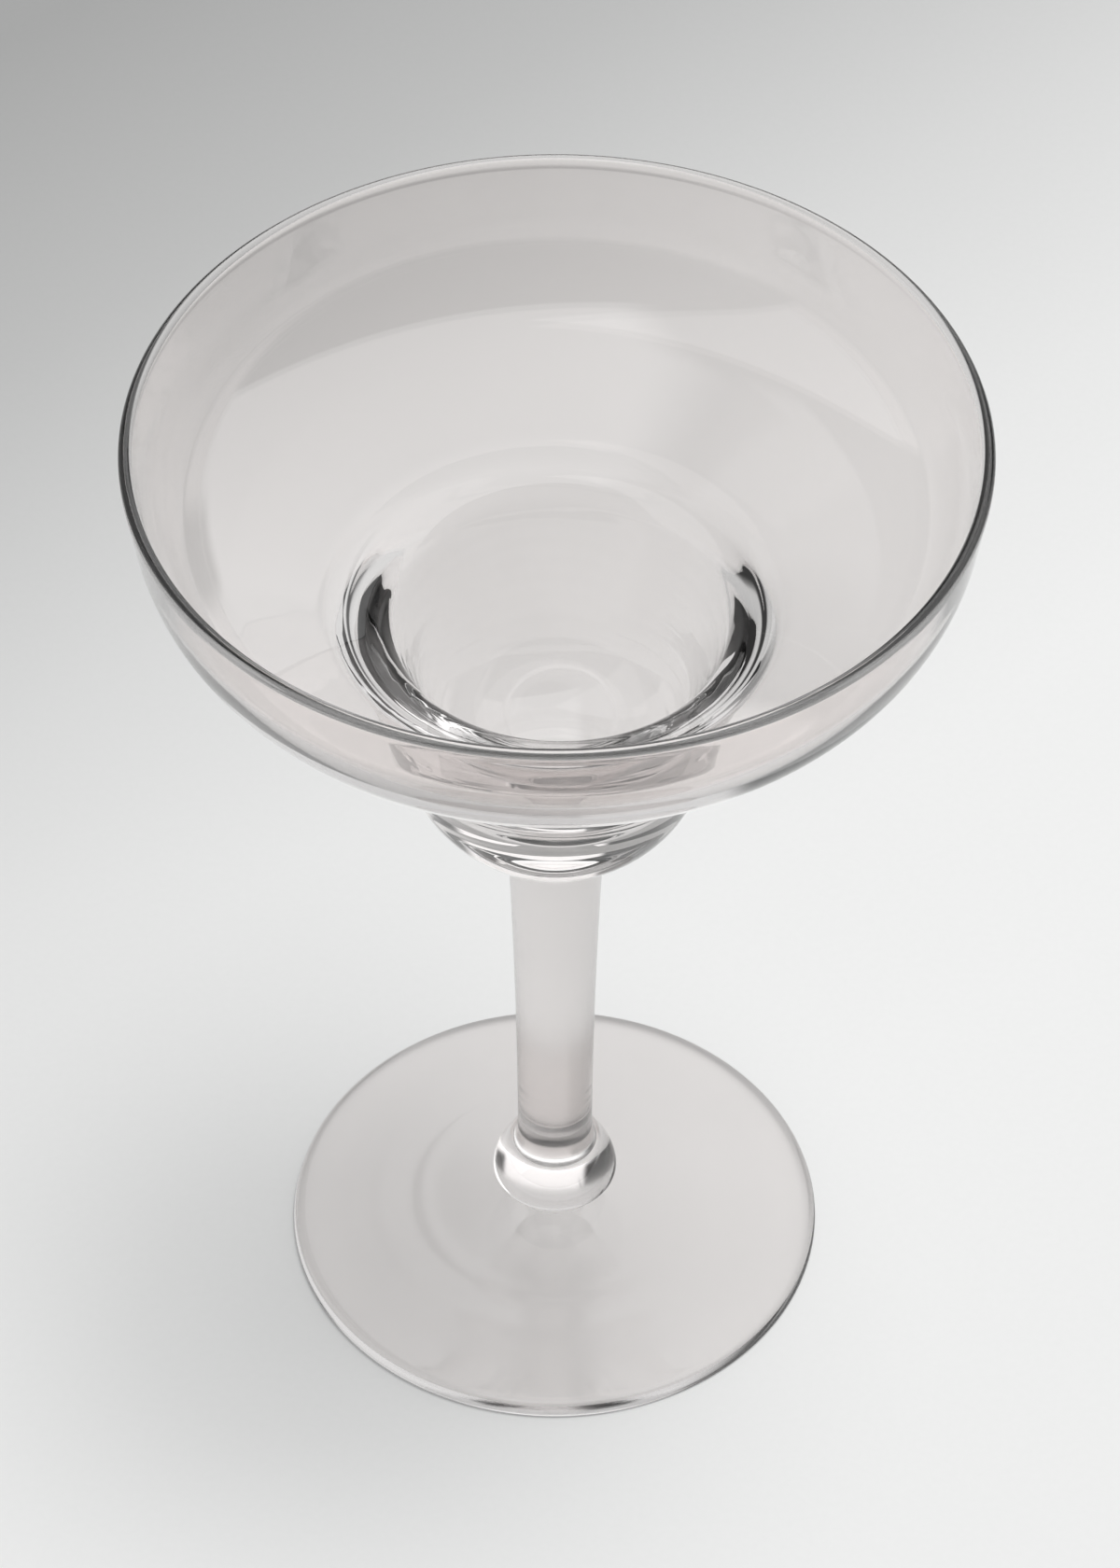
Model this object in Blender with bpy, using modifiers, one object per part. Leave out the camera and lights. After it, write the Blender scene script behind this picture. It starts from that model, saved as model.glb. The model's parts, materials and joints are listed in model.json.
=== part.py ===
"""Coupette glass: a two-stage blown bowl on a solid tapered stem, a knop and a round foot.

Four gathers of clear glass are welded hot, end to end, on one upright axis. Sizes are in metres, +Z is up,
and the origin is the middle of the plane that the foot rests on.
"""

import math

import bpy
import numpy as np

# Foot: a disc with a rounded edge, rising to a crown in the middle and hollowed underneath
FOOT_RADIUS = 0.0393
FOOT_EDGE_HEIGHT = 0.0022
FOOT_EDGE_ROUND = 0.0009
FOOT_RISE_RADIUS = 0.0210
FOOT_RISE_HEIGHT = 0.0042
FOOT_RISE_ROUND = 0.0250
FOOT_CROWN_RADIUS = 0.0064
FOOT_CROWN_HEIGHT = 0.0072
FOOT_HOLLOW_RADIUS = 0.0260
FOOT_HOLLOW_DEPTH = 0.0012

# Knop: a squat bulb that tucks in to a short neck; it ends as wide as the stem's flare and the foot's crown
KNOP_RADIUS = 0.0092
KNOP_BELLY_HEIGHT = 0.0042
KNOP_SHOULDER_HEIGHT = 0.0061
KNOP_TUCK_HEIGHT = 0.0022
KNOP_NECK_RADIUS = 0.0060

# Stem: a rod that widens upwards, with a short flare where it meets the knop
STEM_LENGTH = 0.0622
STEM_WAIST_RADIUS = 0.0055
STEM_TOP_RADIUS = 0.0068
STEM_FLARE_RADIUS = 0.0062
STEM_FLARE_HEIGHT = 0.0045

# Bowl: heights are measured up from the weld on the stem
BOWL_HEIGHT = 0.0800
BUTTON_FLARE = 0.0025
RIM_RADIUS = 0.0588
SHOULDER_RADIUS = 0.0557
SHOULDER_HEIGHT = 0.0595
SHOULDER_ROUND = 0.0214
MOUTH_RADIUS = 0.0290
MOUTH_HEIGHT = 0.0470
MOUTH_ROUND = 0.0105
WELL_RADIUS = 0.0220
WELL_CENTRE_HEIGHT = 0.0255

# Walls of the bowl
SIDE_WALL = 0.0017
FLOOR_WALL = 0.0013
THROAT_WALL = 0.0049
THROAT_RISE = 0.0010
THROAT_ROUND = 0.0080
WELL_WALL = 0.0050
BASE_WALL = 0.0135

# Joints and facets
WELD_GAP = 0.0001
ROUND_STEPS = 64
ROD_STEPS = 48
ARC_STEP = math.radians(14.0)
TAPER_SEGMENTS = 8
MERGE_DISTANCE = 0.00001

# Clear soda glass, very slightly warm
GLASS_ROUGHNESS = 0.02
GLASS_IOR = 1.5
BOWL_COLOUR = (0.93, 0.92, 0.915)
STEM_COLOUR = (0.92, 0.91, 0.905)
KNOP_COLOUR = (0.92, 0.91, 0.905)
FOOT_COLOUR = (0.91, 0.90, 0.895)


def arc(centre, radii, start, end):
    """Points on an ellipse's arc from one angle to another; radii are its half-width and half-height."""
    count = max(2, math.ceil(abs(end - start) / ARC_STEP))
    angles = np.linspace(start, end, count + 1)
    return [(centre[0] + radii[0] * math.cos(a), centre[1] + radii[1] * math.sin(a)) for a in angles]


def rounded_corner(before, corner, after, radius):
    """Points of the arc that touches both legs of a corner; a short leg limits the radius."""
    corner, before, after = (np.array(point) for point in (corner, before, after))
    leg_in = before - corner
    leg_out = after - corner
    reach = min(np.linalg.norm(leg_in), np.linalg.norm(leg_out))
    leg_in = leg_in / np.linalg.norm(leg_in)
    leg_out = leg_out / np.linalg.norm(leg_out)
    half_angle = math.acos(float(np.clip(leg_in @ leg_out, -1.0, 1.0))) / 2
    radius = min(radius, 0.999 * reach * math.tan(half_angle))
    bisector = (leg_in + leg_out) / np.linalg.norm(leg_in + leg_out)
    centre = corner + bisector * radius / math.sin(half_angle)
    first = corner + leg_in * radius / math.tan(half_angle) - centre
    last = corner + leg_out * radius / math.tan(half_angle) - centre
    start = math.atan2(first[1], first[0])
    turn = (math.atan2(last[1], last[0]) - start + math.pi) % (2 * math.pi) - math.pi
    return arc(centre, (radius, radius), start, start + turn)


def tangent_angle(point, centre_height, radius):
    """Angle on a circle centred on the axis where a line from an upper point touches its outer side."""
    height = point[1] - centre_height
    distance = math.hypot(point[0], height)
    return math.atan2(height, point[0]) - math.acos(radius / distance)


def foot_profile():
    """Half-section of the foot, from the crown over the edge to the hollow underneath."""
    crown = (FOOT_CROWN_RADIUS, FOOT_CROWN_HEIGHT)
    rise = (FOOT_RISE_RADIUS, FOOT_RISE_HEIGHT)
    edge_top = (FOOT_RADIUS, FOOT_EDGE_HEIGHT)
    edge_base = (FOOT_RADIUS, 0.0)
    hollow = (FOOT_HOLLOW_RADIUS, 0.0)
    dome_radius = (FOOT_HOLLOW_RADIUS ** 2 + FOOT_HOLLOW_DEPTH ** 2) / (2 * FOOT_HOLLOW_DEPTH)
    dome_half = math.asin(FOOT_HOLLOW_RADIUS / dome_radius)
    dome = np.linspace(dome_half, 0.0, TAPER_SEGMENTS // 2 + 1)
    dome_centre = FOOT_HOLLOW_DEPTH - dome_radius
    return [
        (0.0, FOOT_CROWN_HEIGHT),
        crown,
        *rounded_corner(crown, rise, edge_top, FOOT_RISE_ROUND),
        *rounded_corner(rise, edge_top, edge_base, FOOT_EDGE_ROUND),
        *rounded_corner(edge_top, edge_base, hollow, FOOT_EDGE_ROUND),
        *[(dome_radius * math.sin(a), dome_centre + dome_radius * math.cos(a)) for a in dome],
    ]


def knop_profile(base):
    """Half-section of the knop: two quarter ellipses that meet at its widest ring, over a short neck."""
    belly = base + KNOP_BELLY_HEIGHT
    top = belly + KNOP_SHOULDER_HEIGHT
    shoulder_width = KNOP_RADIUS - STEM_FLARE_RADIUS
    tuck_width = KNOP_RADIUS - KNOP_NECK_RADIUS
    return [
        (0.0, top),
        *arc((STEM_FLARE_RADIUS, belly), (shoulder_width, KNOP_SHOULDER_HEIGHT), math.pi / 2, 0.0),
        *arc((KNOP_NECK_RADIUS, belly), (tuck_width, KNOP_TUCK_HEIGHT), 0.0, -math.pi / 2)[1:],
        (FOOT_CROWN_RADIUS, base),
        (0.0, base),
    ]


def stem_radius(height):
    """Radius of the stem at a height above its base: a square-law taper plus a square-law flare."""
    taper = (STEM_TOP_RADIUS - STEM_WAIST_RADIUS) * (height / STEM_LENGTH) ** 2
    flare = max(0.0, 1.0 - height / STEM_FLARE_HEIGHT) ** 2
    return STEM_WAIST_RADIUS + taper + (STEM_FLARE_RADIUS - STEM_WAIST_RADIUS) * flare


def stem_profile(base):
    """Half-section of the stem, from the weld under the bowl down to the flare on the knop."""
    taper = np.linspace(STEM_LENGTH, STEM_FLARE_HEIGHT, TAPER_SEGMENTS + 1)
    flare = np.linspace(STEM_FLARE_HEIGHT, 0.0, TAPER_SEGMENTS // 2 + 1)[1:]
    heights = [*taper, *flare]
    return [
        (0.0, base + STEM_LENGTH),
        *[(stem_radius(h), base + h) for h in heights],
        (0.0, base),
    ]


def bowl_profile(base):
    """Half-section of the bowl, from the bottom of the well over the lip and down the outside."""
    lip = base + BOWL_HEIGHT
    rim_in = (RIM_RADIUS - SIDE_WALL, lip)
    rim_out = (RIM_RADIUS, lip)
    shoulder = (SHOULDER_RADIUS, base + SHOULDER_HEIGHT)
    shoulder_in = (SHOULDER_RADIUS - SIDE_WALL, base + SHOULDER_HEIGHT + FLOOR_WALL)
    mouth = (MOUTH_RADIUS, base + MOUTH_HEIGHT)
    throat = (MOUTH_RADIUS - THROAT_WALL, base + MOUTH_HEIGHT + THROAT_RISE)

    well_centre = base + WELL_CENTRE_HEIGHT
    hollow_radius = WELL_RADIUS - WELL_WALL
    hollow_centre = well_centre - WELL_RADIUS + BASE_WALL + hollow_radius
    hollow = arc(
        (0.0, hollow_centre),
        (hollow_radius, hollow_radius),
        -math.pi / 2,
        tangent_angle(throat, hollow_centre, hollow_radius),
    )
    button = math.acos((STEM_TOP_RADIUS + BUTTON_FLARE) / WELL_RADIUS)
    well = arc(
        (0.0, well_centre),
        (WELL_RADIUS, WELL_RADIUS),
        tangent_angle(mouth, well_centre, WELL_RADIUS),
        -button,
    )
    neck = (STEM_TOP_RADIUS, well[-1][1] - BUTTON_FLARE / math.tan(button))
    weld = (STEM_TOP_RADIUS, base)
    return [
        (0.0, hollow[0][1]),
        *hollow[1:],
        *rounded_corner(hollow[-1], throat, shoulder_in, THROAT_ROUND),
        *rounded_corner(throat, shoulder_in, rim_in, SHOULDER_ROUND - SIDE_WALL),
        *rounded_corner(shoulder_in, rim_in, rim_out, SIDE_WALL / 2),
        *rounded_corner(rim_in, rim_out, shoulder, SIDE_WALL / 2)[1:],
        *rounded_corner(rim_out, shoulder, mouth, SHOULDER_ROUND),
        *rounded_corner(shoulder, mouth, well[0], MOUTH_ROUND),
        *well,
        *rounded_corner(well[-1], neck, weld, WELL_RADIUS)[1:],
        weld,
        (0.0, base),
    ]


def glass(name, colour):
    """Clear glass with a Principled shader, in a named colour."""
    material = bpy.data.materials.new(name)
    material.use_nodes = True
    shader = material.node_tree.nodes["Principled BSDF"]
    shader.inputs["Base Color"].default_value = (*colour, 1.0)
    shader.inputs["Roughness"].default_value = GLASS_ROUGHNESS
    shader.inputs["Metallic"].default_value = 0.0
    shader.inputs["IOR"].default_value = GLASS_IOR
    shader.inputs["Transmission Weight"].default_value = 1.0
    return material


def turned(name, profile, steps, material, collection):
    """Turn a half-section about the upright axis into a closed solid of its own."""
    mesh = bpy.data.meshes.new(name)
    points = [(radius, 0.0, height) for radius, height in profile]
    edges = [(i, i + 1) for i in range(len(points) - 1)]
    mesh.from_pydata(points, edges, [])
    mesh.materials.append(material)
    piece = bpy.data.objects.new(name, mesh)
    collection.objects.link(piece)
    screw = piece.modifiers.new("turn", "SCREW")
    screw.axis = "Z"
    screw.angle = 2 * math.pi
    screw.steps = steps
    screw.render_steps = steps
    screw.use_merge_vertices = True
    screw.merge_threshold = MERGE_DISTANCE
    screw.use_smooth_shade = True
    return piece


def main():
    """Stack the four pieces from the foot up, each on the weld of the one below."""
    for leftover in list(bpy.data.objects):
        bpy.data.objects.remove(leftover)
    collection = bpy.data.collections.new("coupette_glass")
    bpy.context.scene.collection.children.link(collection)

    knop_base = FOOT_CROWN_HEIGHT + WELD_GAP
    stem_base = knop_base + KNOP_BELLY_HEIGHT + KNOP_SHOULDER_HEIGHT + WELD_GAP
    bowl_base = stem_base + STEM_LENGTH + WELD_GAP

    turned("foot", foot_profile(), ROUND_STEPS, glass("foot_glass", FOOT_COLOUR), collection)
    turned("knop", knop_profile(knop_base), ROD_STEPS, glass("knop_glass", KNOP_COLOUR), collection)
    turned("stem", stem_profile(stem_base), ROD_STEPS, glass("stem_glass", STEM_COLOUR), collection)
    turned("bowl", bowl_profile(bowl_base), ROUND_STEPS, glass("bowl_glass", BOWL_COLOUR), collection)


main()
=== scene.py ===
"""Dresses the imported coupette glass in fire-polished clear glass, on a pale sweep in soft studio light.

The real glass is four gathers of hot glass, turned about one upright axis and fused end to end. Each piece
here is a half-section that is carried round that axis as whole arrays. The flat faces where two pieces fuse
are unseen, so light runs through the joints as it does through one body of glass. Lengths are in metres.
"""

from __future__ import annotations

import json
import logging
import math
from dataclasses import dataclass, field
from enum import Enum

import bpy
import numpy as np
from mathutils import Matrix, Vector

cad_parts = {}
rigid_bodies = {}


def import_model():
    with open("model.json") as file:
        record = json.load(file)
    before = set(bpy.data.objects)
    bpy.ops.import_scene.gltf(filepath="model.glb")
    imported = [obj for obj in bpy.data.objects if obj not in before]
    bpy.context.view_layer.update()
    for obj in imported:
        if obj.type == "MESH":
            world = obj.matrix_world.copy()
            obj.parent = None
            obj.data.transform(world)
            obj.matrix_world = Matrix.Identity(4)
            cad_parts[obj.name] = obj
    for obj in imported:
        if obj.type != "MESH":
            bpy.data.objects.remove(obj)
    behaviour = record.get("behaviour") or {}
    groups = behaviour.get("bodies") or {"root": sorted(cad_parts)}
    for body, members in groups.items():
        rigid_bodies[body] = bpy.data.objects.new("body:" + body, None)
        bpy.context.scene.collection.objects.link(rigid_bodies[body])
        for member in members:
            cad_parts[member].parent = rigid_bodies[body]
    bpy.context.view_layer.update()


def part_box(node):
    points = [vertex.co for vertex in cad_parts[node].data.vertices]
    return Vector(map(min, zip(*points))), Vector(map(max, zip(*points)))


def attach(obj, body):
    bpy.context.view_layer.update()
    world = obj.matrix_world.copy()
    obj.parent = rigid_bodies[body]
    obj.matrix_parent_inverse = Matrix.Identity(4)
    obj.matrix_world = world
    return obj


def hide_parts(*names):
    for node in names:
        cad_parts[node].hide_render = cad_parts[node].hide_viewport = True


LOG = logging.getLogger("coupette")
BODY = "root"
ARC_STEP = math.radians(2.5)
ARC_CHORD = 0.00025
FEWEST_STRETCHES = 4
LINE_STEP = 0.0009
FINE_STEP = LINE_STEP / 3
SHARP_EDGE = math.radians(50.0)
FRONT = -math.pi / 2
MM_PER_M = 1000.0
SAME_POINT = 1e-7
FULLEST_ROUND = 0.999
MELT_DETAIL = 1.0
SMEAR_SCALE = 55.0
SMEAR_DETAIL = 3.0
SMEAR_SWIRL = 0.6
SMEAR_TOPS = (0.52, 0.74)
RUB_LEAN = (0.5, 0.3, 0.9)
RUB_STRETCH = (70.0, 2600.0, 1900.0)
RUB_TOPS = (0.72, 0.80)
FIRST_LEAK = 0.5
RAMP_MIDDLE = 0.5

Section = np.ndarray
Socket = bpy.types.NodeSocket
Sockets = bpy.types.bpy_prop_collection
Span = tuple[float, float]
Triple = tuple[float, float, float]


class Slot(Enum):
    """The two material slots of every piece of glass."""

    SURFACE = 0
    FUSED = 1


def arc(centre: Span, radii: Span, start: float, end: float) -> Section:
    """Points on an ellipse: centre plus half-width times cosine and half-height times sine of each angle.

    Args:
        centre: Distance from the axis and height of the ellipse's middle.
        radii: Its half-width and half-height.
        start: First angle, in radians.
        end: Last angle, in radians.

    Returns:
        Points as rows of distance from the axis and height.
    """
    sweep = abs(end - start)
    count = max(FEWEST_STRETCHES, math.ceil(min(sweep / ARC_STEP, sweep * max(radii) / ARC_CHORD)))
    angles = np.linspace(start, end, count + 1)
    across = centre[0] + radii[0] * np.cos(angles)
    up = centre[1] + radii[1] * np.sin(angles)
    return np.column_stack([across, up])


def rounded_corner(before: np.ndarray, corner: np.ndarray, after: np.ndarray, radius: float) -> Section:
    """The arc that touches both legs of a corner: its centre lies on the bisector, radius over sine away.

    Args:
        before: A point on the leg that comes in.
        corner: The sharp corner.
        after: A point on the leg that goes out.
        radius: Radius of the rounding, which a short leg limits.

    Returns:
        Points of the arc, from the leg that comes in to the leg that goes out.
    """
    corner = np.asarray(corner, float)
    leg_in = np.asarray(before, float) - corner
    leg_out = np.asarray(after, float) - corner
    reach = min(np.linalg.norm(leg_in), np.linalg.norm(leg_out))
    leg_in /= np.linalg.norm(leg_in)
    leg_out /= np.linalg.norm(leg_out)
    half = math.acos(float(np.clip(leg_in @ leg_out, -1.0, 1.0))) / 2
    radius = min(radius, FULLEST_ROUND * reach * math.tan(half))
    bisector = (leg_in + leg_out) / np.linalg.norm(leg_in + leg_out)
    centre = corner + bisector * radius / math.sin(half)
    first = corner + leg_in * radius / math.tan(half) - centre
    last = corner + leg_out * radius / math.tan(half) - centre
    start = math.atan2(first[1], first[0])
    turn = (math.atan2(last[1], last[0]) - start + math.pi) % (2 * math.pi) - math.pi
    return arc((centre[0], centre[1]), (radius, radius), start, start + turn)


def tangent_angle(point: np.ndarray, centre_height: float, radius: float) -> float:
    """Angle on a circle centred on the axis where a line from an upper point touches its outer side.

    It is the angle to the point less the arc cosine of radius over distance.

    Args:
        point: Distance from the axis and height of the upper point.
        centre_height: Height of the circle's centre.
        radius: The circle's radius.

    Returns:
        The angle, in radians up from level.
    """
    height = point[1] - centre_height
    distance = math.hypot(point[0], height)
    return math.atan2(height, point[0]) - math.acos(radius / distance)


def filled_in(points: Section, step: float = LINE_STEP) -> Section:
    """Divides each stretch of an outline evenly, so that none is longer than a step.

    Args:
        points: Corner points of the outline.
        step: Longest stretch that is left.

    Returns:
        The same outline with points added along its straight stretches.
    """
    lengths = np.linalg.norm(np.diff(points, axis=0), axis=1)
    kept = np.concatenate([[True], lengths > SAME_POINT])
    points = points[kept]
    spans = np.diff(points, axis=0)
    counts = np.maximum(1, np.ceil(np.linalg.norm(spans, axis=1) / step)).astype(int)
    owner = np.repeat(np.arange(len(counts)), counts)
    place = np.arange(counts.sum()) - np.repeat(np.cumsum(counts) - counts, counts)
    inner = points[owner] + spans[owner] * (place / counts[owner])[:, None]
    return np.vstack([inner, points[-1:]])


def smooth_step(values: np.ndarray, low: float, high: float) -> np.ndarray:
    """Zero at low, one at high, and three t squared less two t cubed between; low may be the larger."""
    t = np.clip((values - low) / (high - low), 0.0, 1.0)
    return t * t * (3.0 - 2.0 * t)


class Wiring:
    """A node tree that is being wired."""

    def __init__(self, tree: bpy.types.NodeTree) -> None:
        """Keeps the tree that nodes are added to."""
        self.tree = tree

    def add(self, kind: str, inputs: dict | None = None, **settings: object) -> bpy.types.Node:
        """Adds a node, sets its options and fills its inputs.

        Args:
            kind: Blender's name of the node's type.
            inputs: Input's name or number, with a socket to link from or a plain value.
            **settings: Attributes of the node.

        Returns:
            The new node.
        """
        node = self.tree.nodes.new(kind)
        for name, value in settings.items():
            setattr(node, name, value)
        for name, value in (inputs or {}).items():
            self.feed(node.inputs[name], value)
        return node

    def feed(self, target: Socket, value: object) -> None:
        """Links a socket to an input, or sets the input to a plain value.

        Args:
            target: The input.
            value: The socket or the value.
        """
        if isinstance(value, bpy.types.NodeSocket):
            self.tree.links.new(value, target)
        else:
            target.default_value = value

    def math(self, operation: str, first: object, second: object = 0.0, clamp: bool = False) -> Socket:
        """Result of one Math node on two numbers or sockets."""
        node = self.add("ShaderNodeMath", {0: first, 1: second}, operation=operation, use_clamp=clamp)
        return node.outputs[0]

    def remap(self, value: Socket, source: Span, result: Span) -> Socket:
        """Smoothly carries a value from one range to another and holds it at the ends.

        Args:
            value: The value.
            source: Where the value starts and stops to count.
            result: What comes out at those two.

        Returns:
            The carried value.
        """
        limits = dict(zip(("From Min", "From Max", "To Min", "To Max"), (*source, *result)))
        node = self.add("ShaderNodeMapRange", {"Value": value, **limits}, interpolation_type="SMOOTHSTEP")
        return node.outputs["Result"]

    def distance_from_axis(self, axes: Sockets) -> Socket:
        """Length of a place's part that lies flat, across the upright axis."""
        flat = self.add("ShaderNodeCombineXYZ", {0: axes["X"], 1: axes["Y"]}).outputs[0]
        return self.add("ShaderNodeVectorMath", {0: flat}, operation="LENGTH").outputs["Value"]


def new_group(name: str, inputs: dict[str, float], outputs: list[str]) -> tuple[Wiring, Sockets, Sockets]:
    """Starts a shader node group with a place and named numbers going in, and plain values coming out.

    Args:
        name: Name of the group.
        inputs: Each number input's name, with its default.
        outputs: Names of the outputs.

    Returns:
        The group's wiring, its input node's outputs by name, and its output node's inputs by name.
    """
    tree = bpy.data.node_groups.new(name, "ShaderNodeTree")
    tree.interface.new_socket("Vector", in_out="INPUT", socket_type="NodeSocketVector")
    for label, value in inputs.items():
        socket = tree.interface.new_socket(label, in_out="INPUT", socket_type="NodeSocketFloat")
        socket.default_value = value
    for label in outputs:
        tree.interface.new_socket(label, in_out="OUTPUT", socket_type="NodeSocketFloat")
    wiring = Wiring(tree)
    source = wiring.add("NodeGroupInput")
    sink = wiring.add("NodeGroupOutput")
    return wiring, source.outputs, sink.inputs


def melt_depth() -> bpy.types.NodeTree:
    """How deep the glass looks from place to place, because a melt is never quite even.

    Depth is a noise on the place alone, whose patches are some centimetres across.

    Returns:
        The node group, with output Depth, from 0 to 1.
    """
    name = "melt_depth"
    if name in bpy.data.node_groups:
        return bpy.data.node_groups[name]
    wiring, given, result = new_group(name, {"Patches": 38.0}, ["Depth"])
    noise = {"Vector": given["Vector"], "Scale": given["Patches"], "Detail": MELT_DETAIL}
    slow = wiring.add("ShaderNodeTexNoise", noise)
    wiring.feed(result["Depth"], slow.outputs["Fac"])
    return wiring.tree


def handling_marks() -> bpy.types.NodeTree:
    """Faint smears from handling and hair-fine rubs from washing, as one mask.

    Smears are the tops of a slow noise. Rubs are the tops of a noise that is drawn out long one way.

    Returns:
        The node group, with output Marks, from 0 on clean glass to 1.
    """
    name = "handling_marks"
    if name in bpy.data.node_groups:
        return bpy.data.node_groups[name]
    wiring, given, result = new_group(name, {"Smears": 0.35, "Rubs": 0.5}, ["Marks"])
    place = given["Vector"]
    cloud = wiring.add(
        "ShaderNodeTexNoise",
        {"Vector": place, "Scale": SMEAR_SCALE, "Detail": SMEAR_DETAIL, "Distortion": SMEAR_SWIRL},
    )
    smeared = wiring.remap(cloud.outputs["Fac"], SMEAR_TOPS, (0.0, 1.0))
    smears = wiring.math("MULTIPLY", smeared, given["Smears"])
    drawn = wiring.add("ShaderNodeMapping", {"Vector": place, "Rotation": RUB_LEAN, "Scale": RUB_STRETCH})
    hair = wiring.add("ShaderNodeTexNoise", {"Vector": drawn.outputs[0], "Scale": 1.0, "Detail": 0.0})
    rubbed = wiring.remap(hair.outputs["Fac"], RUB_TOPS, (0.0, 1.0))
    rubs = wiring.math("MULTIPLY", rubbed, given["Rubs"])
    wiring.feed(result["Marks"], wiring.math("MAXIMUM", smears, rubs))
    return wiring.tree


@dataclass(frozen=True)
class ClearGlass:
    """Fire-polished clear glass, very slightly warm, with an uneven depth and marks of use.

    Attributes:
        name: Name of the material.
        tint: Colour of thin or clear glass.
        deep_and_shade_tint: Colour of deep glass, and on the stem the colour of painted shade towards its
            top.
        deep_and_shade_share: Added to the depth of the melt before the two colours are mixed.
        polish: Roughness where the glass is clean.
        marked: Roughness where it is smeared or rubbed.
        worn: Roughness that a worn ring adds.
        worn_from: Distances from the axis between which the wear begins.
        worn_to: Distances from the axis between which it ends.
        ior: How strongly it bends light.
        patches: How many times the depth of the melt changes in a metre.
        smears: Weight of the smears.
        rubs: Weight of the rubs.
        shade: Share of light that each surface passes on to other things.
        thin_shade: The same where the wall is thin.
        fade_heights: Heights where the deep colour and the shade are whole, then gone; the stem's deep colour
            is painted shade.
        rim_shade: A further share, at the outer edge.
        rim_from: Distances from the axis between which the edge begins.
        mirrorings: Times that a ray may be mirrored inside before it leaves, unbent.
        leak_shade: Share of light that such a ray keeps.
        long_way_shade: The same after a long last stretch inside, near the lip.
        short_way: Last stretch up to which a ray keeps its light.
        long_way: Last stretch from which it has lost it.
        lip_from: Heights between which that loss begins.
    """

    name: str
    tint: Triple = (0.905, 0.872, 0.862)
    deep_and_shade_tint: Triple = (0.845, 0.815, 0.806)
    deep_and_shade_share: float = 0.0
    polish: float = 0.0
    marked: float = 0.06
    worn: float = 0.0
    worn_from: Span = (0.010, 0.014)
    worn_to: Span = (0.031, 0.035)
    ior: float = 1.5
    patches: float = 38.0
    smears: float = 0.35
    rubs: float = 0.5
    shade: float = 0.85
    thin_shade: float = 0.87
    fade_heights: Span = (1.0, 1.1)
    rim_shade: float = 1.0
    rim_from: Span = (1.0, 1.1)
    mirrorings: float = 99.0
    leak_shade: float = 0.93
    long_way_shade: float = 0.06
    short_way: float = 0.003
    long_way: float = 0.007
    lip_from: Span = (0.104, 0.110)

    def material(self) -> bpy.types.Material:
        """Builds the material from the shared groups.

        The colour is the clear tint mixed with the deep one, by the melt's depth plus a share, by height:
        deep glass in the bowl's well, painted shade that darkens the stem towards its top. The roughness runs
        from polished to marked, plus the wear.

        Returns:
            A glass material with a plain transmission, and a tint and a polish that vary.
        """
        material = bpy.data.materials.new(self.name)
        material.use_nodes = True
        wiring = Wiring(material.node_tree)
        shader = material.node_tree.nodes["Principled BSDF"]
        place = wiring.add("ShaderNodeTexCoord").outputs["Object"]
        axes = wiring.add("ShaderNodeSeparateXYZ", {0: place}).outputs
        reach = wiring.distance_from_axis(axes)
        melt = wiring.add("ShaderNodeGroup", node_tree=melt_depth())
        wiring.feed(melt.inputs["Vector"], place)
        wiring.feed(melt.inputs["Patches"], self.patches)
        marks = wiring.add("ShaderNodeGroup", node_tree=handling_marks())
        wiring.feed(marks.inputs["Vector"], place)
        wiring.feed(marks.inputs["Smears"], self.smears)
        wiring.feed(marks.inputs["Rubs"], self.rubs)
        # Painted shade on the stem: this height step darkens its colour towards its top; in the bowl it gives
        # the deep glass of the well.
        darkening = wiring.remap(axes["Z"], self.fade_heights, (1.0, 0.0))
        deepened = wiring.math("ADD", melt.outputs["Depth"], self.deep_and_shade_share)
        depth = wiring.math("MULTIPLY", darkening, deepened, clamp=True)
        colour = wiring.add("ShaderNodeMix", {"Factor": depth}, data_type="RGBA")
        colour.inputs["A"].default_value = (*self.tint, 1.0)
        colour.inputs["B"].default_value = (*self.deep_and_shade_tint, 1.0)
        roughness = wiring.remap(marks.outputs["Marks"], (0.0, 1.0), (self.polish, self.marked))
        begun = wiring.remap(reach, self.worn_from, (0.0, self.worn))
        ended = wiring.remap(reach, self.worn_to, (1.0, 0.0))
        wear = wiring.math("MULTIPLY", begun, ended)
        wiring.feed(shader.inputs["Base Color"], colour.outputs["Result"])
        wiring.feed(shader.inputs["Roughness"], wiring.math("ADD", roughness, wear))
        shader.inputs["Metallic"].default_value = 0.0
        shader.inputs["IOR"].default_value = self.ior
        shader.inputs["Transmission Weight"].default_value = 1.0
        path = wiring.add("ShaderNodeLightPath").outputs
        held = self.let_trapped_out(wiring, path, axes["Z"], shader.outputs[0])
        by_height = wiring.remap(axes["Z"], self.fade_heights, (self.shade, self.thin_shade))
        by_reach = wiring.remap(reach, self.rim_from, (1.0, self.rim_shade))
        self.let_light_by(wiring, path, wiring.math("MULTIPLY", by_height, by_reach), held)
        return material

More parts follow.
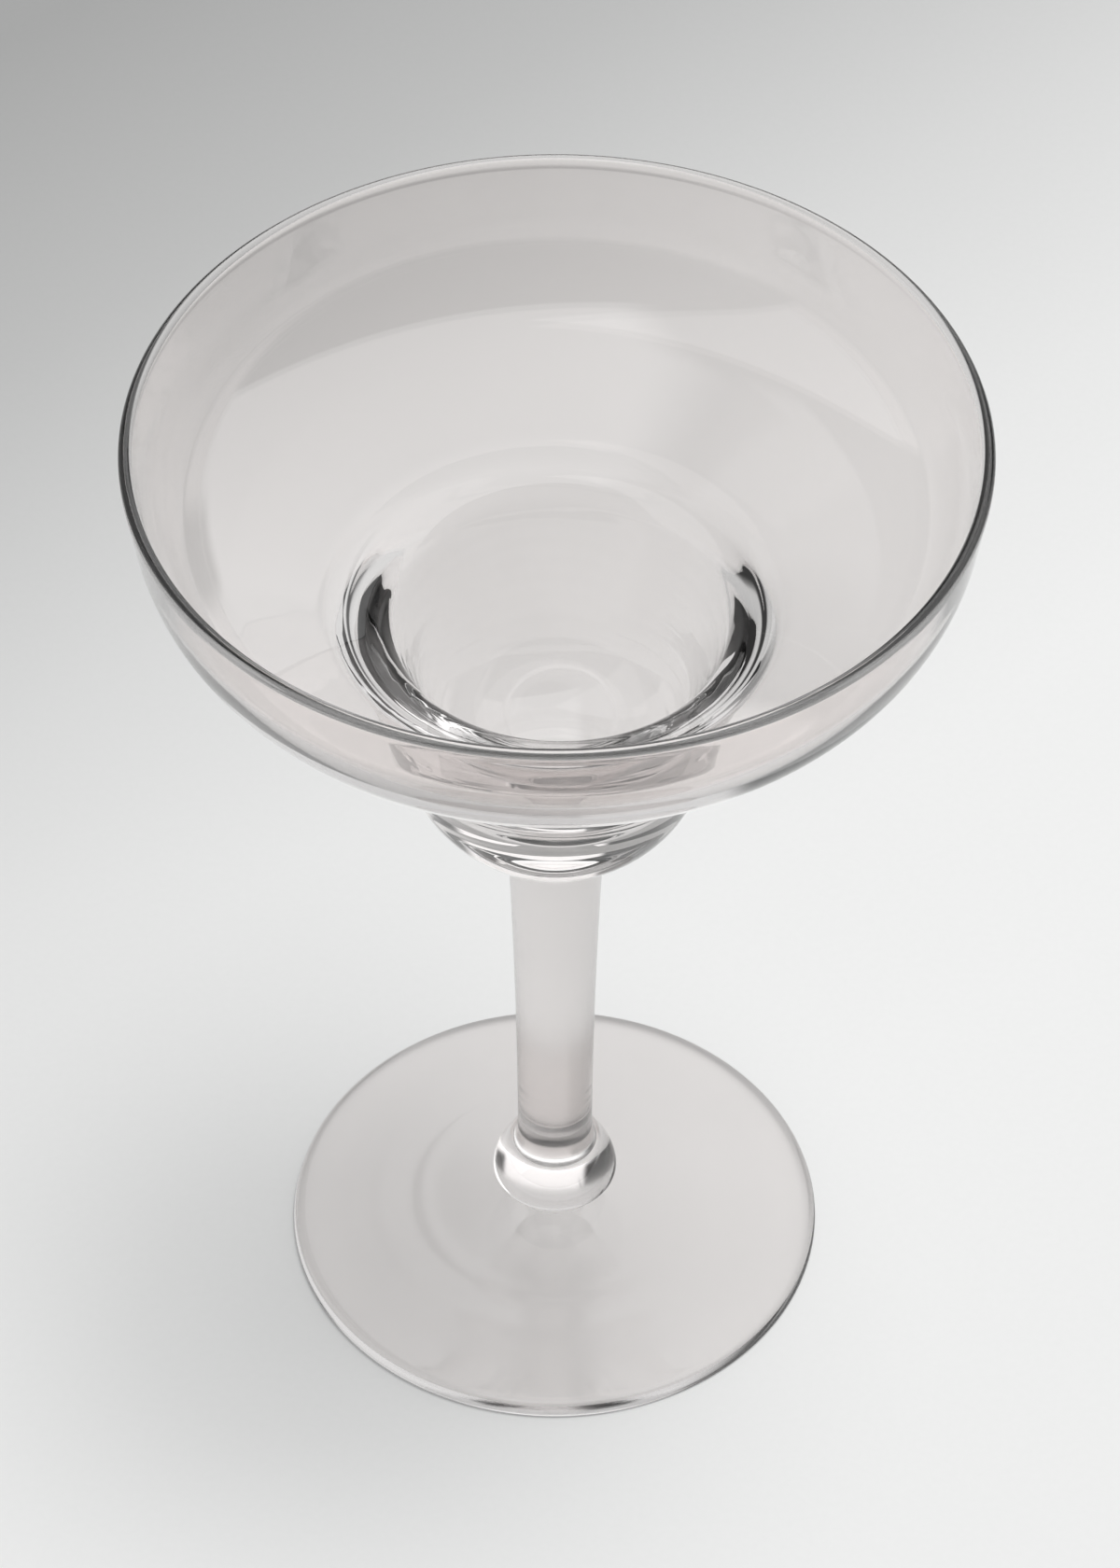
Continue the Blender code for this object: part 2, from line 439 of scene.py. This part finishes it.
    def let_trapped_out(self, wiring: Wiring, path: Sockets, height: Socket, shader: Socket) -> Socket:
        """Lets a ray that has been mirrored too many times inside run straight out, with a shade.

        The shade falls from the leak's to the long way's, by a step on the ray's last stretch times a step on
        the height, and only where the ray first leaves.

        Args:
            wiring: The material's node tree.
            path: Outputs of its Light Path node.
            height: The place's height.
            shader: The Principled shader, for all other rays.

        Returns:
            The mixed shader.
        """
        deep = wiring.math("GREATER_THAN", path["Glossy Depth"], self.mirrorings)
        far = wiring.remap(path["Ray Length"], (self.short_way, self.long_way), (0.0, 1.0))
        at_lip = wiring.remap(height, self.lip_from, (0.0, 1.0))
        first = wiring.math("LESS_THAN", path["Transparent Depth"], FIRST_LEAK)
        lost = wiring.math("MULTIPLY", wiring.math("MULTIPLY", far, at_lip), first)
        leak_shade = wiring.remap(lost, (0.0, 1.0), (self.leak_shade, self.long_way_shade))
        leak = wiring.add("ShaderNodeBsdfTransparent", {"Color": leak_shade})
        return wiring.add("ShaderNodeMixShader", {0: deep, 1: shader, 2: leak.outputs[0]}).outputs[0]

    def let_light_by(self, wiring: Wiring, path: Sockets, shade: Socket, held: Socket) -> None:
        """Lets light on its way to other things run straight through, with a shade.

        Args:
            wiring: The material's node tree.
            path: Outputs of its Light Path node.
            shade: Share of light that passes, which is one by height times one by reach.
            held: The shader that everything else sees.
        """
        clear = wiring.add("ShaderNodeBsdfTransparent", {"Color": shade})
        passing = wiring.math("MAXIMUM", path["Is Shadow Ray"], path["Is Diffuse Ray"])
        mix = wiring.add("ShaderNodeMixShader", {0: passing, 1: held, 2: clear.outputs[0]})
        wiring.feed(wiring.tree.nodes["Material Output"].inputs["Surface"], mix.outputs[0])


@dataclass(frozen=True)
class FusedJoint:
    """The inside of a hot joint, where two gathers have become one body and nothing is seen."""

    name: str = "fused_joint"

    def material(self) -> bpy.types.Material:
        """Builds the unseen material once.

        Returns:
            The material that all joints share.
        """
        if self.name in bpy.data.materials:
            return bpy.data.materials[self.name]
        material = bpy.data.materials.new(self.name)
        material.use_nodes = True
        shader = material.node_tree.nodes["Principled BSDF"]
        shader.inputs["Base Color"].default_value = (1.0, 1.0, 1.0, 1.0)
        shader.inputs["Alpha"].default_value = 0.0
        return material


@dataclass(frozen=True)
class SweepPaper:
    """Pale backdrop paper with painted shade in its colour: darker on the far left and paler towards the near
    right.
    """

    name: str = "sweep_paper"
    tone: Triple = (1.0, 1.005, 1.0)
    lean: float = 1.1
    fibre_scale: float = 900.0
    fibre_detail: float = 3.0
    fibre_range: Span = (0.2, 0.8)
    fibre_tone: Span = (0.988, 1.0)
    roughness: float = 0.9
    gloss: float = 0.1
    # Painted shade: each stop is a distance across and the paper's colour level there, darker to the left.
    stops: tuple[Span, ...] = (
        (-0.62, 0.36),
        (-0.40, 0.385),
        (-0.30, 0.51),
        (-0.20, 0.69),
        (-0.12, 0.806),
        (-0.05, 0.865),
        (0.02, 0.875),
        (0.10, 0.855),
    )

    def material(self) -> bpy.types.Material:
        """Builds the paper: a ramp of painted shade on x less a share of y, with a faint fibre mottle.

        Returns:
            The paper's material.
        """
        material = bpy.data.materials.new(self.name)
        material.use_nodes = True
        wiring = Wiring(material.node_tree)
        shader = material.node_tree.nodes["Principled BSDF"]
        place = wiring.add("ShaderNodeTexCoord").outputs["Object"]
        axes = wiring.add("ShaderNodeSeparateXYZ", {0: place}).outputs
        across = wiring.math("SUBTRACT", axes["X"], wiring.math("MULTIPLY", axes["Y"], self.lean))
        first = self.stops[0][0]
        reach = self.stops[-1][0] - first
        limits = {"From Min": first, "From Max": first + reach}
        share = wiring.add("ShaderNodeMapRange", {"Value": across, **limits})
        # The ramp paints shade into the paper's colour, darker on the far left and paler towards the near
        # right.
        ramp = wiring.add("ShaderNodeValToRGB", {"Fac": share.outputs["Result"]})
        elements = ramp.color_ramp.elements
        while len(elements) < len(self.stops):
            elements.new(RAMP_MIDDLE)
        for element, (distance, level) in zip(elements, self.stops):
            element.position = (distance - first) / reach
            element.color = (*(level * part for part in self.tone), 1.0)
        noise = {"Vector": place, "Scale": self.fibre_scale, "Detail": self.fibre_detail}
        fibre = wiring.add("ShaderNodeTexNoise", noise)
        mottle = wiring.remap(fibre.outputs["Fac"], self.fibre_range, self.fibre_tone)
        shaded = {0: ramp.outputs["Color"], "Scale": mottle}
        toned = wiring.add("ShaderNodeVectorMath", shaded, operation="SCALE")
        wiring.feed(shader.inputs["Base Color"], toned.outputs[0])
        shader.inputs["Roughness"].default_value = self.roughness
        shader.inputs["Specular IOR Level"].default_value = self.gloss
        return material


@dataclass
class Turning:
    """A half-section that is carried round the upright axis.

    The section starts and ends on the axis, and the glass lies to its right as it runs.
    """

    section: Section
    steps: int

    def grid(self) -> np.ndarray:
        """Points at radius times cosine, radius times sine and height.

        Returns:
            An array of rings, steps and three coordinates, without the two points on the axis.
        """
        angles = self.angles()
        rings = self.section[1:-1]
        x = rings[:, :1] * np.cos(angles)
        y = rings[:, :1] * np.sin(angles)
        z = np.broadcast_to(rings[:, 1:], x.shape)
        return np.stack([x, y, z], axis=-1)

    def angles(self) -> np.ndarray:
        """Angle of each step round the axis, from +X towards +Y."""
        return np.arange(self.steps) * (2 * math.pi / self.steps)

    def faces(self) -> tuple[np.ndarray, np.ndarray, np.ndarray]:
        """Corner numbers of the first fan, the quads between rings and the last fan.

        Returns:
            Triangles round the first point on the axis, quads, and triangles round the last point.
        """
        rings = len(self.section) - 2
        here = np.arange(self.steps)
        after = np.roll(here, -1)
        rows = np.arange(rings - 1)[:, None] * self.steps
        corners = [rows + here, rows + self.steps + here, rows + self.steps + after, rows + after]
        quads = np.stack(corners, axis=-1).reshape(-1, 4)
        first_pole = rings * self.steps
        last_row = (rings - 1) * self.steps
        first = np.column_stack([np.full(self.steps, first_pole), here, after])
        last = np.column_stack([last_row + here, np.full(self.steps, first_pole + 1), last_row + after])
        return first, quads, last

    def mesh(self, name: str, points: np.ndarray, fused: tuple[bool, bool]) -> bpy.types.Mesh:
        """Puts the rings and the two points on the axis into one closed mesh.

        Args:
            name: Name of the mesh.
            points: The grid, after any change of shape.
            fused: Whether the first and the last fan are faces of a fused joint.

        Returns:
            A closed, smooth mesh whose fans at joints use the second material slot.
        """
        poles = np.zeros((2, 3))
        poles[:, 2] = self.section[[0, -1], 1]
        poles[:, :2] = points[[0, -1], :, :2].mean(axis=1)
        vertices = np.vstack([points.reshape(-1, 3), poles])
        first, quads, last = self.faces()
        mesh = bpy.data.meshes.new(name)
        mesh.from_pydata(vertices.tolist(), [], [*first.tolist(), *quads.tolist(), *last.tolist()])
        slots = np.zeros(len(mesh.polygons), dtype=np.int32)
        slots[: self.steps] = Slot.FUSED.value if fused[0] else Slot.SURFACE.value
        slots[len(slots) - self.steps:] = Slot.FUSED.value if fused[1] else Slot.SURFACE.value
        mesh.polygons.foreach_set("material_index", slots)
        mesh.shade_smooth()
        mesh.set_sharp_from_angle(angle=SHARP_EDGE)
        return mesh


@dataclass
class GlassPiece:
    """One gather of glass: where it sits in the frame and how it is dressed."""

    node: str
    finish: ClearGlass
    base: float
    top: float
    steps: int = 240
    fused: tuple[bool, bool] = (True, True)

    def section(self) -> Section:
        """Half-section of the piece, from its first point on the axis to its last."""
        raise NotImplementedError

    def shaped(self, turning: Turning, points: np.ndarray) -> np.ndarray:
        """The grid with what makes it less than perfectly round; a plain piece stays as turned."""
        return points

    def build(self) -> bpy.types.Object:
        """Turns the section, dresses the mesh and seats the piece in the frame.

        Returns:
            The finished object, which stands for the node of the same name.
        """
        turning = Turning(self.section(), self.steps)
        points = self.shaped(turning, turning.grid())
        mesh = turning.mesh(f"{self.node}_glass", points, self.fused)
        mesh.materials.append(self.finish.material())
        mesh.materials.append(FusedJoint().material())
        piece = bpy.data.objects.new(f"{self.node}_glass", mesh)
        bpy.context.scene.collection.objects.link(piece)
        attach(piece, BODY)
        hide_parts(self.node)
        rings = len(turning.section) - 2
        span = (self.base * MM_PER_M, self.top * MM_PER_M)
        LOG.info("%s: %d rings of %d steps, %.1f to %.1f mm", piece.name, rings, self.steps, *span)
        return piece


@dataclass
class Foot(GlassPiece):
    """The round foot: a disc with a rounded edge, rising to a crown and hollowed underneath."""

    radius: float = 0.0393
    edge_height: float = 0.0022
    edge_round: float = 0.0020
    heel_round: float = 0.00018
    rise_radius: float = 0.0210
    rise_height: float = 0.0042
    rise_round: float = 0.0120
    crown_radius: float = 0.0064
    hollow_radius: float = 0.0260
    hollow_depth: float = 0.0012
    hollow_points: int = 40
    rings: tuple[Triple, ...] = (
        (0.0200, 0.0012, 0.00018),
        (0.0258, 0.0016, 0.00012),
    )
    fused: tuple[bool, bool] = (True, False)

    def section(self) -> Section:
        """Runs from the crown over the edge to the hollow, which is a shallow dome of one radius.

        Each ring on the top adds its height times e to minus the square of distance over width.

        Returns:
            The half-section.
        """
        crown = np.array([self.crown_radius, self.top])
        rise = np.array([self.rise_radius, self.base + self.rise_height])
        edge_top = np.array([self.radius, self.base + self.edge_height])
        edge_base = np.array([self.radius, self.base])
        hollow = np.array([self.hollow_radius, self.base])
        dome = (self.hollow_radius ** 2 + self.hollow_depth ** 2) / (2 * self.hollow_depth)
        spread = math.asin(self.hollow_radius / dome)
        angles = np.linspace(spread, 0.0, self.hollow_points)
        dome_centre = self.base + self.hollow_depth - dome
        under = np.column_stack([dome * np.sin(angles), dome_centre + dome * np.cos(angles)])
        outline = np.vstack([
            crown,
            rounded_corner(crown, rise, edge_top, self.rise_round),
            rounded_corner(rise, edge_top, edge_base, self.edge_round),
            rounded_corner(edge_top, edge_base, hollow, self.heel_round),
            under[:-1],
        ])
        outline = filled_in(outline)
        upper = np.arange(len(outline)) < int(np.argmax(outline[:, 0]))
        for radius, width, height in self.rings:
            outline[:, 1] += upper * height * np.exp(-(((outline[:, 0] - radius) / width) ** 2))
        return np.vstack([[0.0, self.top], outline, [0.0, self.base + self.hollow_depth]])


@dataclass
class Knop(GlassPiece):
    """The squat bulb between stem and foot, with the hairline seam of its two-part mould."""

    radius: float = 0.0092
    belly_height: float = 0.0043
    base_radius: float = 0.0064
    neck_radius: float = 0.0060
    tuck_height: float = 0.0022
    top_radius: float = 0.0062
    squareness: float = 1.5
    seam_angle: float = FRONT + math.radians(26.0)
    seam_height: float = 0.00003
    seam_width: float = 0.00016
    seam_fade: float = 0.002
    steps: int = 480

    def section(self) -> Section:
        """A shoulder and a quarter ellipse that meet at the widest ring, over a short neck.

        The shoulder is a superellipse: cosine and sine of each angle, to the power two over squareness.

        Returns:
            The half-section.
        """
        belly = self.base + self.belly_height
        over = (self.radius - self.top_radius, self.top - belly)
        under = (self.radius - self.neck_radius, self.tuck_height)
        shoulder = arc((0.0, 0.0), (1.0, 1.0), math.pi / 2, 0.0).clip(0.0) ** (2.0 / self.squareness)
        shoulder = shoulder * over + (self.top_radius, belly)
        tuck = arc((self.neck_radius, belly), under, 0.0, -math.pi / 2)
        outline = np.vstack([shoulder, tuck[1:], [self.base_radius, self.base]])
        outline = filled_in(outline, FINE_STEP)
        return np.vstack([[0.0, self.top], outline, [0.0, self.base]])

    def shaped(self, turning: Turning, points: np.ndarray) -> np.ndarray:
        """Raises a ridge where the mould parts: height times e to minus the square of distance over width.

        Args:
            turning: The section that was carried round.
            points: Its grid.

        Returns:
            The changed grid.
        """
        apart = np.angle(np.exp(2j * (turning.angles() - self.seam_angle))) / 2
        radii = np.linalg.norm(points[..., :2], axis=-1)
        ridge = self.seam_height * np.exp(-((apart * radii / self.seam_width) ** 2))
        fade = smooth_step(points[..., 2], self.top, self.top - self.seam_fade)
        scale = 1.0 + ridge * fade / radii
        return np.concatenate([points[..., :2] * scale[..., None], points[..., 2:]], axis=-1)


@dataclass
class Stem(GlassPiece):
    """The solid rod that widens upwards, with a short flare where it meets the knop."""

    waist_radius: float = 0.0055
    top_radius: float = 0.0068
    flare_radius: float = 0.0062
    flare_height: float = 0.0045
    grooves: tuple[float, ...] = (0.0058, 0.0079)
    groove_depth: float = 0.00003
    groove_width: float = 0.00028
    points: int = 400

    def section(self) -> Section:
        """Radius is a square-law taper upwards plus a square-law flare, less two bell-shaped tool lines.

        Returns:
            The half-section.
        """
        up = np.linspace(1.0, 0.0, self.points)
        height = up * (self.top - self.base)
        taper = (self.top_radius - self.waist_radius) * up ** 2
        flare = np.clip(1.0 - height / self.flare_height, 0.0, None) ** 2
        radius = self.waist_radius + taper + (self.flare_radius - self.waist_radius) * flare
        apart = (height[:, None] - np.array(self.grooves)) / self.groove_width
        radius -= self.groove_depth * np.exp(-(apart ** 2)).sum(axis=1)
        rod = np.column_stack([radius, self.base + height])
        return np.vstack([[0.0, self.top], rod, [0.0, self.base]])


@dataclass
class Bowl(GlassPiece):
    """The blown bowl: wide upper bowl, throat, narrow heavy well and the button on the stem."""

    weld_radius: float = 0.0068
    weld_flare: float = 0.0025
    rim_radius: float = 0.0588
    shoulder_radius: float = 0.0557
    shoulder_height: float = 0.0595
    shoulder_round: float = 0.0214
    mouth_radius: float = 0.0290
    mouth_height: float = 0.0470
    mouth_round: float = 0.0105
    well_radius: float = 0.0220
    well_height: float = 0.0255
    side_wall: float = 0.0017
    floor_wall: float = 0.0013
    throat_wall: float = 0.0049
    throat_rise: float = 0.0010
    throat_round: float = 0.0080
    well_wall: float = 0.0050
    base_wall: float = 0.0135
    bore_offset: float = 0.0006
    bead: float = 0.0005
    bead_height: float = 0.0017
    bead_fillet: float = 0.0003
    tool_ring_pitch: float = 0.0026
    tool_ring_height: float = 0.00024
    tool_rings_from: Span = (0.0020, 0.0045)
    tool_rings_to: Span = (0.0085, 0.0120)
    cord_pitch: float = 0.0026
    cord_height: float = 0.000014
    cords_from: Span = (0.020, 0.028)
    cords_past_mouth: float = 0.006
    bore_shift_past_mouth: Span = (-0.002, 0.010)
    cord_wander: tuple[Triple, ...] = ((2.0, 0.9, 0.7), (5.0, 0.6, 2.1))
    steps: int = 256
    fused: tuple[bool, bool] = (False, True)

    def section(self) -> Section:
        """Runs up the inside from the bottom of the well, over the lip and down the outside to the weld.

        Straight legs are joined by arcs that touch them. The bore and the well are circles on the axis,
        which the legs from the throat and the mouth touch.

        Returns:
            The half-section.
        """
        seat = self.base
        rim_in = np.array([self.rim_radius - self.side_wall - self.bead, self.top])
        rim_out = np.array([self.rim_radius, self.top])
        shoulder = np.array([self.shoulder_radius, seat + self.shoulder_height])
        shoulder_in = shoulder + np.array([-self.side_wall, self.floor_wall])
        mouth = np.array([self.mouth_radius, seat + self.mouth_height])
        throat = mouth + np.array([-self.throat_wall, self.throat_rise])
        well_centre = seat + self.well_height
        bore = self.well_radius - self.well_wall
        bore_centre = well_centre - self.well_radius + self.base_wall + bore
        touch = tangent_angle(throat, bore_centre, bore)
        hollow = arc((0.0, bore_centre), (bore, bore), -math.pi / 2, touch)
        button = math.acos((self.weld_radius + self.weld_flare) / self.well_radius)
        touch = tangent_angle(mouth, well_centre, self.well_radius)
        well = arc((0.0, well_centre), (self.well_radius, self.well_radius), touch, -button)
        neck = np.array([self.weld_radius, well[-1][1] - self.weld_flare / math.tan(button)])
        weld = np.array([self.weld_radius, seat])
        lip = (self.side_wall + self.bead) / 2
        neckline = np.array([self.rim_radius - self.side_wall, self.top]) - shoulder_in
        under_bead = shoulder_in + neckline * (1.0 - self.bead_height / neckline[1])
        outline = np.vstack([
            hollow[1:],
            rounded_corner(hollow[-1], throat, shoulder_in, self.throat_round),
            rounded_corner(throat, shoulder_in, under_bead, self.shoulder_round - self.side_wall),
            rounded_corner(shoulder_in, under_bead, rim_in, self.bead_fillet),
            rounded_corner(under_bead, rim_in, rim_out, lip),
            rounded_corner(rim_in, rim_out, shoulder, lip)[1:],
            rounded_corner(rim_out, shoulder, mouth, self.shoulder_round),
            rounded_corner(shoulder, mouth, well[0], self.mouth_round),
            well,
            rounded_corner(well[-1], neck, weld, self.well_radius)[1:],
            weld,
        ])
        outline = self.tooled(filled_in(outline))
        return np.vstack([[0.0, hollow[0][1]], outline, [0.0, seat]])

    def tooled(self, outline: Section) -> Section:
        """Adds the rings of the shaping tool under the well: a sine of the height, faded at both ends.

        Args:
            outline: The section without its points on the axis.

        Returns:
            The ringed outline.
        """
        outside = np.arange(len(outline)) > int(np.argmax(outline[:, 1]))
        height = outline[:, 1] - self.base
        fade = smooth_step(height, *self.tool_rings_from) * smooth_step(height, *self.tool_rings_to[::-1])
        wave = np.sin(2 * math.pi * height / self.tool_ring_pitch)
        ringed = outline.copy()
        ringed[:, 0] += self.tool_ring_height * wave * fade * outside
        return ringed

    def shaped(self, turning: Turning, points: np.ndarray) -> np.ndarray:
        """Shifts the bore sideways and waves the throat by a sine of the height that wanders round the axis.

        The wander is a sum of sines, each with its count of waves round the axis, its weight and its start.

        Args:
            turning: The section that was carried round.
            points: Its grid.

        Returns:
            The changed grid.
        """
        lip = int(np.argmax(turning.section[:, 1])) - 1
        inside = (np.arange(len(points)) < lip)[:, None]
        height = points[..., 2] - self.base
        full, gone = (self.mouth_height + past for past in self.bore_shift_past_mouth)
        shift = self.bore_offset * smooth_step(height, gone, full)
        waves, weights, starts = np.array(self.cord_wander).T[..., None]
        wander = (weights * np.sin(waves * turning.angles() + starts)).sum(axis=0)
        wave = np.sin(2 * math.pi * height / self.cord_pitch + wander)
        last = self.mouth_height + self.cords_past_mouth
        fade = smooth_step(height, *self.cords_from) * smooth_step(height, last, self.mouth_height)
        radii = np.linalg.norm(points[..., :2], axis=-1)
        moved = points.copy()
        moved[..., :2] *= (1.0 + self.cord_height * wave * fade / radii)[..., None]
        moved[..., 0] += shift * inside
        return moved


@dataclass(frozen=True)
class Edge:
    """One straight edge of a panel: the panel is lit where a direction lies on the near side of a plane."""

    facing: Triple
    gone: float
    full: float


@dataclass(frozen=True)
class LightPanel:
    """A diffusing panel in the room, bounded by straight edges, as it is mirrored in the glass."""

    name: str
    strength: float
    edges: tuple[Edge, ...]

    def level(self, wiring: Wiring, direction: Socket) -> Socket:
        """Strength times one smooth step for each edge, on the direction's share along the edge's normal.

        Args:
            wiring: The world's node tree.
            direction: The direction that is looked in.

        Returns:
            The panel's light in that direction.
        """
        level = self.strength
        for edge in self.edges:
            along = wiring.add(
                "ShaderNodeVectorMath",
                {0: direction, 1: Vector(edge.facing).normalized()},
                operation="DOT_PRODUCT",
            )
            inside = wiring.remap(along.outputs["Value"], (edge.gone, edge.full), (0.0, 1.0))
            level = wiring.math("MULTIPLY", inside, level)
        return level


@dataclass
class Studio:
    """The pale sweep, the panels of soft light, the key light and the camera."""

    paper: SweepPaper = field(default_factory=SweepPaper)
    floor_drop: float = 0.0002
    floor_radius: float = 8.0
    floor_sides: int = 96
    room: float = 0.04
    room_fill: float = 0.3
    panels: tuple[LightPanel, ...] = (
        LightPanel("overhead", 1.5, (
            Edge((-0.19, 0.80, 0.57), -0.01, 0.02),
            Edge((1.0, 0.0, 0.0), -0.42, -0.18),
            Edge((0.0, -0.29, 0.957), 0.08, 0.2),
        )),
        LightPanel("back_window", 1.2, (
            Edge((1.0, 0.0, 0.0), -0.28, -0.22),
            Edge((-1.0, 0.0, 0.0), -0.58, -0.48),
            Edge((0.0, 1.0, 0.0), 0.3, 0.5),
            Edge((0.0, 0.29, -0.957), -0.2, -0.08),
        )),
        LightPanel("right_wall", 1.2, (
            Edge((1.0, 0.0, 0.0), 0.72, 0.84),
            Edge((0.0, 0.0, 1.0), -0.02, 0.03),
            Edge((0.0, 0.29, -0.957), -0.2, -0.08),
        )),
        LightPanel("left_window", 0.9, (
            Edge((-0.41, 0.83, 0.37), -0.01, 0.02),
            Edge((-0.32, -0.86, -0.39), -0.09, -0.07),
            Edge((0.0, 0.0, 1.0), -0.02, 0.02),
        )),
        LightPanel("back_left_strip", 0.5, (
            Edge((-0.89, -0.24, -0.39), -0.02, 0.02),
            Edge((0.787, 0.104, 0.608), -0.02, 0.02),
            Edge((0.0, 1.0, 0.0), 0.0, 0.2),
        )),
    )
    key_direction: Triple = (0.22, 0.11, 0.97)
    key_spread: float = math.radians(25.0)
    key_strength: float = 2.4
    camera_place: Triple = (0.0, -0.6433, 0.7666)
    camera_down: float = math.radians(46.30)
    camera_turn: float = 0.0009
    camera_roll: float = 0.0036
    focal_pixels: float = 7087.0
    frame_height: float = 1680.0
    sensor: float = 36.0
    nearest: float = 0.01

    def build(self) -> None:
        """Lays the sweep, lights the room and sets the camera."""
        self.lay_floor()
        self.light_room()
        self.hang_key()
        self.set_camera()
        bpy.context.scene.view_settings.view_transform = "Standard"

    def lay_floor(self) -> None:
        """A wide disc just under the foot, whose rim is radius times cosine and sine of equal angles."""
        angles = np.linspace(0.0, 2 * math.pi, self.floor_sides, endpoint=False)
        level = np.full(len(angles), -self.floor_drop)
        flat = self.floor_radius * np.column_stack([np.cos(angles), np.sin(angles)])
        rim = np.column_stack([flat, level])
        mesh = bpy.data.meshes.new("sweep")
        mesh.from_pydata(rim.tolist(), [], [list(range(len(rim)))])
        mesh.materials.append(self.paper.material())
        floor = bpy.data.objects.new("sweep", mesh)
        bpy.context.scene.collection.objects.link(floor)

    def light_room(self) -> None:
        """A dim room plus each panel's light, of which the paper gets only a share, since it has the key."""
        world = bpy.data.worlds.new("soft_room")
        bpy.context.scene.world = world
        world.use_nodes = True
        wiring = Wiring(world.node_tree)
        direction = wiring.add("ShaderNodeTexCoord").outputs["Generated"]
        level = self.room
        for panel in self.panels:
            level = wiring.math("ADD", panel.level(wiring, direction), level)
            LOG.info("panel %s: strength %.1f", panel.name, panel.strength)
        path = wiring.add("ShaderNodeLightPath").outputs
        mirrored = wiring.math("MAXIMUM", path["Is Glossy Ray"], path["Is Transmission Ray"])
        seen = wiring.math("MAXIMUM", mirrored, path["Is Camera Ray"])
        share = wiring.add("ShaderNodeMapRange", {"Value": seen, "To Min": self.room_fill, "To Max": 1.0})
        background = world.node_tree.nodes["Background"]
        wiring.feed(background.inputs["Strength"], wiring.math("MULTIPLY", level, share.outputs["Result"]))
        background.inputs["Color"].default_value = (1.0, 1.0, 1.0, 1.0)

    def hang_key(self) -> None:
        """A broad, distant overhead light, a little behind the glass on the right."""
        lamp = bpy.data.lights.new("key_light", "SUN")
        lamp.angle = self.key_spread
        lamp.energy = self.key_strength
        key = bpy.data.objects.new("key_light", lamp)
        away = Vector(self.key_direction).normalized()
        key.rotation_euler = (-away).to_track_quat("-Z", "Y").to_euler()
        key.visible_glossy = False
        key.visible_transmission = False
        bpy.context.scene.collection.objects.link(key)

    def set_camera(self) -> None:
        """A long lens that looks down at the glass from the front."""
        lens = bpy.data.cameras.new("camera")
        lens.sensor_width = self.sensor
        lens.lens = self.focal_pixels / self.frame_height * self.sensor
        lens.clip_start = self.nearest
        camera = bpy.data.objects.new("camera", lens)
        camera.location = self.camera_place
        flat = math.cos(self.camera_down)
        aside = math.sin(self.camera_turn) * flat
        onward = math.cos(self.camera_turn) * flat
        ahead = Vector((aside, onward, -math.sin(self.camera_down)))
        level = ahead.to_track_quat("-Z", "Y").to_matrix()
        camera.rotation_euler = (level @ Matrix.Rotation(self.camera_roll, 3, "Z")).to_euler()
        bpy.context.scene.collection.objects.link(camera)
        bpy.context.scene.camera = camera


def joint_height(lower: str, upper: str) -> float:
    """Height where two stacked nodes fuse: halfway across the small gap between their solids."""
    return (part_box(lower)[1].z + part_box(upper)[0].z) / 2


def main() -> None:
    """Builds the four pieces of glass from the foot up, then the studio round them."""
    logging.basicConfig(level=logging.INFO, format="%(name)s: %(message)s")
    for leftover in list(bpy.data.objects):
        bpy.data.objects.remove(leftover)
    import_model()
    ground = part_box("foot")[0].z
    crown = joint_height("foot", "knop")
    collar = joint_height("knop", "stem")
    weld = joint_height("stem", "bowl")
    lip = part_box("bowl")[1].z
    foot_finish = ClearGlass(
        "foot_glass",
        tint=(0.928, 0.894, 0.884),
        polish=0.04,
        marked=0.09,
        worn=0.09,
        shade=0.95,
        rim_shade=0.7,
        rim_from=(0.0375, 0.039),
        mirrorings=2.5,
        leak_shade=0.5,
    )
    knop_finish = ClearGlass("knop_glass", shade=1.0, mirrorings=0.5, leak_shade=0.9)
    # Painted shade: the stem's deep tint and its height step darken its colour towards its top, under the
    # bowl.
    stem_finish = ClearGlass(
        "stem_glass",
        deep_and_shade_tint=(0.77, 0.743, 0.735),
        deep_and_shade_share=0.5,
        polish=0.2,
        marked=0.3,
        shade=1.0,
        thin_shade=1.0,
        fade_heights=(0.085, 0.02),
    )
    bowl_finish = ClearGlass(
        "bowl_glass",
        deep_and_shade_share=0.4,
        shade=0.74,
        fade_heights=(0.122, 0.135),
        mirrorings=3.5,
        leak_shade=0.8,
    )
    pieces = [
        Foot("foot", foot_finish, ground, crown),
        Knop("knop", knop_finish, crown, collar),
        Stem("stem", stem_finish, collar, weld),
        Bowl("bowl", bowl_finish, weld, lip),
    ]
    for piece in pieces:
        piece.build()
    Studio().build()


if __name__ == "__main__":
    main()
